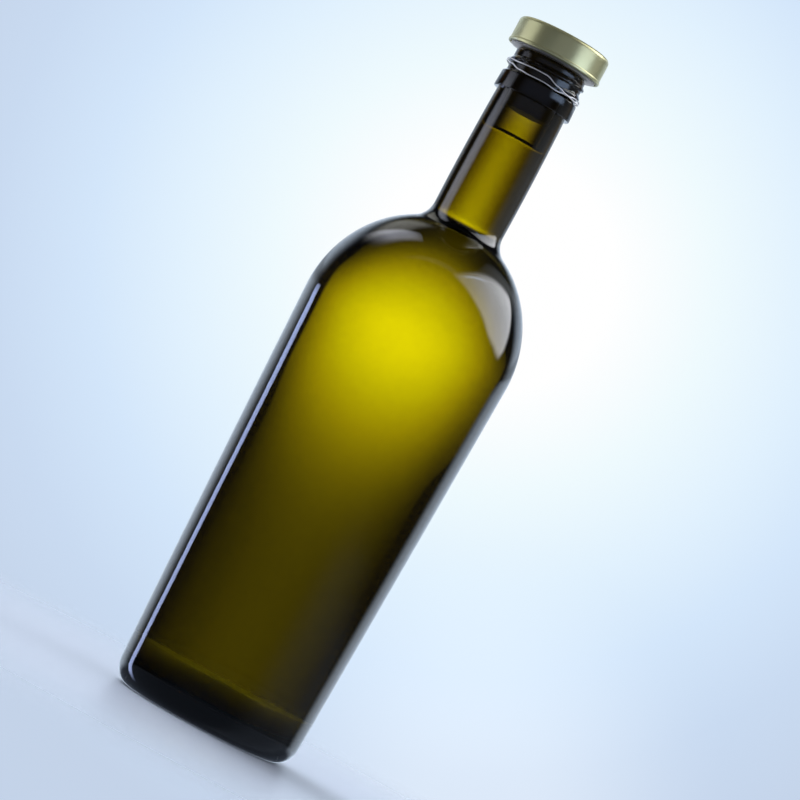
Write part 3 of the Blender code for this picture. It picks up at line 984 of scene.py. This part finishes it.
def make_camera():
    """The camera of the photograph, rolled so that the upright bottle leans in the picture."""
    yaw = math.radians(CAMERA_YAW)
    pitch = math.radians(CAMERA_PITCH)
    roll = math.radians(CAMERA_ROLL)
    ahead = Vector((math.sin(yaw) * math.cos(pitch), math.cos(yaw) * math.cos(pitch), math.sin(pitch)))
    right = Vector((math.cos(yaw), -math.sin(yaw), 0.0))
    up = right.cross(ahead)
    across = right * math.cos(roll) + up * math.sin(roll)
    upward = up * math.cos(roll) - right * math.sin(roll)
    turn = Matrix((across, upward, -ahead)).transposed().to_4x4()
    data = bpy.data.cameras.new("camera")
    data.sensor_width = CAMERA_SENSOR
    data.lens = CAMERA_LENS
    camera = bpy.data.objects.new("camera", data)
    camera.matrix_world = Matrix.Translation((0.0, -CAMERA_DISTANCE, CAMERA_HEIGHT)) @ turn
    bpy.context.scene.collection.objects.link(camera)
    bpy.context.scene.camera = camera


class BOTTLE_OT_stage(bpy.types.Operator):
    """Make the floor, the studio light and the camera"""

    bl_idname = "bottle.stage"
    bl_label = "Stage"

    def execute(self, context):
        context.scene.view_settings.view_transform = "Standard"
        made = bmesh.new()
        bmesh.ops.create_circle(made, cap_ends=True, segments=FLOOR_SEGMENTS, radius=FLOOR_RADIUS)
        mesh = bpy.data.meshes.new("floor")
        made.to_mesh(mesh)
        made.free()
        mesh.materials.append(floor_look())
        floor = bpy.data.objects.new("floor", mesh)
        context.scene.collection.objects.link(floor)
        floor.visible_glossy = False
        floor.visible_diffuse = False
        make_back_light()
        for lamp in SOFT_BOX_LAMPS:
            soft_box_lamp(*lamp)
        bpy.data.collections.new(STOPPER_LIT)
        for lamp in STOPPER_LAMPS:
            stopper_lamp(*lamp)
        make_studio()
        make_camera()
        return {"FINISHED"}


class BOTTLE_OT_glass(bpy.types.Operator):
    """Make the glass, with its punt, collar and screw thread"""

    bl_idname = "bottle.glass"
    bl_label = "Glass"

    def execute(self, context):
        sizes = context.scene.bottle_sizes
        bore = [(BORE_RADIUS, BORE_FOOT_HEIGHT)]
        centre = (BORE_RADIUS + BORE_ROUND, sizes.mouth_height - BORE_ROUND)
        bore += arc(*centre, BORE_ROUND, BORE_ROUND, 180.0, 90.0, BORE_STEPS)
        inside = inside_profile(sizes)
        profile = outside_profile(sizes) + list(reversed(inside + bore))
        made = turned(profile, sizes.turn_steps)
        wall = {(round(r / MM, 3), round(z / MM, 3)) for r, z in inside}

        def is_inside(radius, height):
            return (round(radius / MM, 3), round(height / MM, 3)) in wall

        blur_floor(made, is_inside)
        uneven_wall(made, sizes, is_inside)
        cut_thread(made)
        look = glass_look(context.scene.bottle_colours)
        finished("glass_bottle", made, look, "bottle_glass")
        return {"FINISHED"}


class BOTTLE_OT_wine(bpy.types.Operator):
    """Make the wine, which fills the glass up to its level in the neck"""

    bl_idname = "bottle.wine"
    bl_label = "Wine"

    def execute(self, context):
        sizes = context.scene.bottle_sizes
        wall = inside_profile(sizes)
        points = [(0.0, wall[0][1] - WINE_IN_WALL)]
        for before, here, after in zip(wall, wall[1:], wall[2:]):
            along = (Vector(after) - Vector(before)).normalized()
            points.append((here[0] + WINE_IN_WALL * along.y, here[1] - WINE_IN_WALL * along.x))
        top = sizes.wine_level
        edge = bore_radius(top)
        points.append((BORE_TAPER_RADIUS + WINE_IN_WALL, BORE_TAPER_HEIGHT))
        points.append((edge + WINE_IN_WALL, top))
        for share in even(0.0, 1.0, MENISCUS_STEPS)[:-1]:
            radius = edge * (1.0 - share) ** MENISCUS_CROWDING
            rise = MENISCUS_HEIGHT * math.exp((radius - edge) / MENISCUS_WIDTH)
            points.append((radius, top - MENISCUS_HEIGHT + rise))
        points.append((0.0, top - MENISCUS_HEIGHT))
        made = turned(points, sizes.turn_steps)
        uneven_wall(made, sizes, lambda r, z: True)
        look = wine_look(context.scene.bottle_colours)
        finished("white_wine", made, look, "wine")
        return {"FINISHED"}


class BOTTLE_OT_head(bpy.types.Operator):
    """Make the stopper's metal shell, with its rolled lower edge"""

    bl_idname = "bottle.head"
    bl_label = "Metal head"

    def execute(self, context):
        inner = HEAD_RADIUS - HEAD_WALL
        bottom = HEAD_LOW.z
        top = HEAD_HIGH.z
        bead = HEAD_HIGH.x - HEAD_RADIUS
        edge = HEAD_EDGE
        points = [(0.0, top)]
        points += arc(HEAD_RADIUS - edge, top - edge, edge, edge, 90.0, 0.0, HEAD_EDGE_STEPS)
        heights = even(top - edge, bottom + BEAD_HEIGHT, HEAD_SIDE_STEPS)
        points += [(HEAD_RADIUS, height) for height in heights]
        half = BEAD_HEIGHT / 2
        points += arc(HEAD_RADIUS, bottom + half, bead, half, BEAD_START, -90.0, BEAD_STEPS)
        points.append((inner, bottom))
        thin = HEAD_EDGE - HEAD_WALL
        points += arc(inner - thin, top - edge, thin, thin, 0.0, 90.0, HEAD_SIDE_STEPS)
        points.append((0.0, top - HEAD_WALL))
        made = turned(points, context.scene.bottle_sizes.turn_steps)
        look = metal_look(context.scene.bottle_colours)
        piece = finished("metal_head", made, look, "stopper_head")
        bpy.data.collections[STOPPER_LIT].objects.link(piece)
        return {"FINISHED"}


class BOTTLE_OT_disc(bpy.types.Operator):
    """Make the stopper's white plastic head, which rests on the mouth"""

    bl_idname = "bottle.disc"
    bl_label = "Plastic head"

    def execute(self, context):
        radius = DISC_HIGH.x
        points = [(0.0, DISC_HIGH.z)]
        centre = radius - DISC_ROUND
        points += arc(centre, DISC_HIGH.z - DISC_ROUND, DISC_ROUND, DISC_ROUND, 90.0, 0.0, DISC_STEPS)
        points += arc(centre, DISC_LOW.z + DISC_ROUND, DISC_ROUND, DISC_ROUND, 0.0, -90.0, DISC_STEPS)
        points.append((0.0, DISC_LOW.z))
        made = turned(points, context.scene.bottle_sizes.turn_steps)
        look = plastic_look(context.scene.bottle_colours)
        finished("plastic_head", made, look, "stopper_disc")
        return {"FINISHED"}


class BOTTLE_OT_shank(bpy.types.Operator):
    """Make the stopper's dark shank, in the bore"""

    bl_idname = "bottle.shank"
    bl_label = "Shank"

    def execute(self, context):
        radius = SHANK_HIGH.x
        points = [(0.0, SHANK_HIGH.z), (radius, SHANK_HIGH.z)]
        centre = (radius - SHANK_ROUND, SHANK_LOW.z + SHANK_ROUND)
        heights = even(SHANK_HIGH.z, centre[1], SHANK_SIDE_STEPS)[:-1]
        points += [(radius, height) for height in heights]
        points += arc(*centre, SHANK_ROUND, SHANK_ROUND, 0.0, -90.0, SHANK_ROUND_STEPS)
        points.append((0.0, SHANK_LOW.z))
        made = turned(points, context.scene.bottle_sizes.turn_steps)
        look = shank_look(context.scene.bottle_colours)
        finished("dark_shank", made, look, "stopper_shank")
        return {"FINISHED"}


def wire_height(places, degrees):
    """The wire's height at an angle round the neck, read from the places where it bends."""
    for (start, low), (end, high) in zip(places, places[1:]):
        if start <= degrees <= end:
            share = (degrees - start) / (end - start)
            return (low + (high - low) * smooth(share)) * MM
    return places[-1][1] * MM


class BOTTLE_OT_wire(bpy.types.Operator):
    """Make the thin wire that is wound twice round the thread"""

    bl_idname = "bottle.wire"
    bl_label = "Neck wire"

    def execute(self, context):
        curve = bpy.data.curves.new("wire_loop", "CURVE")
        curve.dimensions = "3D"
        curve.bevel_depth = WIRE_RADIUS
        curve.bevel_resolution = WIRE_ROUNDNESS
        spline = curve.splines.new("POLY")
        spline.points.add(2 * WIRE_STEPS - 1)
        spline.use_cyclic_u = True
        for turn, places in enumerate((WIRE_FIRST_TURN, WIRE_SECOND_TURN)):
            for step in range(WIRE_STEPS):
                degrees = -180.0 + 360.0 * step / WIRE_STEPS
                angle = math.radians(degrees)
                radius = WIRE_TURN_RADIUS
                if turn == 0:
                    nearness = max(0.0, 1.0 - abs(degrees - WIRE_CROSSING) / WIRE_CROSSING_SPREAD)
                    radius += WIRE_CROSSING_LIFT * smooth(nearness)
                height = wire_height(places, degrees)
                place = (radius * math.cos(angle), radius * math.sin(angle), height)
                spline.points[turn * WIRE_STEPS + step].co = (*place, 1.0)
        shaped = bpy.data.objects.new("wire_curve", curve)
        context.scene.collection.objects.link(shaped)
        context.view_layer.update()
        made = bmesh.new()
        swept = shaped.evaluated_get(context.evaluated_depsgraph_get())
        made.from_mesh(bpy.data.meshes.new_from_object(swept))
        bpy.data.objects.remove(shaped)
        bmesh.ops.remove_doubles(made, verts=made.verts, dist=MERGE_DISTANCE)
        bmesh.ops.recalc_face_normals(made, faces=made.faces)
        look = wire_look(context.scene.bottle_colours)
        piece = finished("wire_loop", made, look, "neck_wire")
        bpy.data.collections[STOPPER_LIT].objects.link(piece)
        return {"FINISHED"}


PIECES = (
    BOTTLE_OT_stage, BOTTLE_OT_glass, BOTTLE_OT_wine, BOTTLE_OT_head,
    BOTTLE_OT_disc, BOTTLE_OT_shank, BOTTLE_OT_wire,
)


class BOTTLE_PT_panel(bpy.types.Panel):
    """Lists the bottle's operators, sizes and colours"""

    bl_idname = "BOTTLE_PT_panel"
    bl_label = "Wine bottle"
    bl_space_type = "VIEW_3D"
    bl_region_type = "UI"
    bl_category = "Bottle"

    def draw(self, context):
        for operator in PIECES:
            self.layout.operator(operator.bl_idname)
        for group in (context.scene.bottle_sizes, context.scene.bottle_colours):
            for name in group.__annotations__:
                self.layout.prop(group, name)


def register():
    for group in (BottleSizes, BottleColours, *PIECES, BOTTLE_PT_panel):
        bpy.utils.register_class(group)
    bpy.types.Scene.bottle_sizes = PointerProperty(type=BottleSizes)
    bpy.types.Scene.bottle_colours = PointerProperty(type=BottleColours)


def unregister():
    del bpy.types.Scene.bottle_colours
    del bpy.types.Scene.bottle_sizes
    for group in reversed((BottleSizes, BottleColours, *PIECES, BOTTLE_PT_panel)):
        bpy.utils.unregister_class(group)


def main():
    register()
    for operator in PIECES:
        family, name = operator.bl_idname.split(".")
        getattr(getattr(bpy.ops, family), name)()


if __name__ == "__main__":
    main()
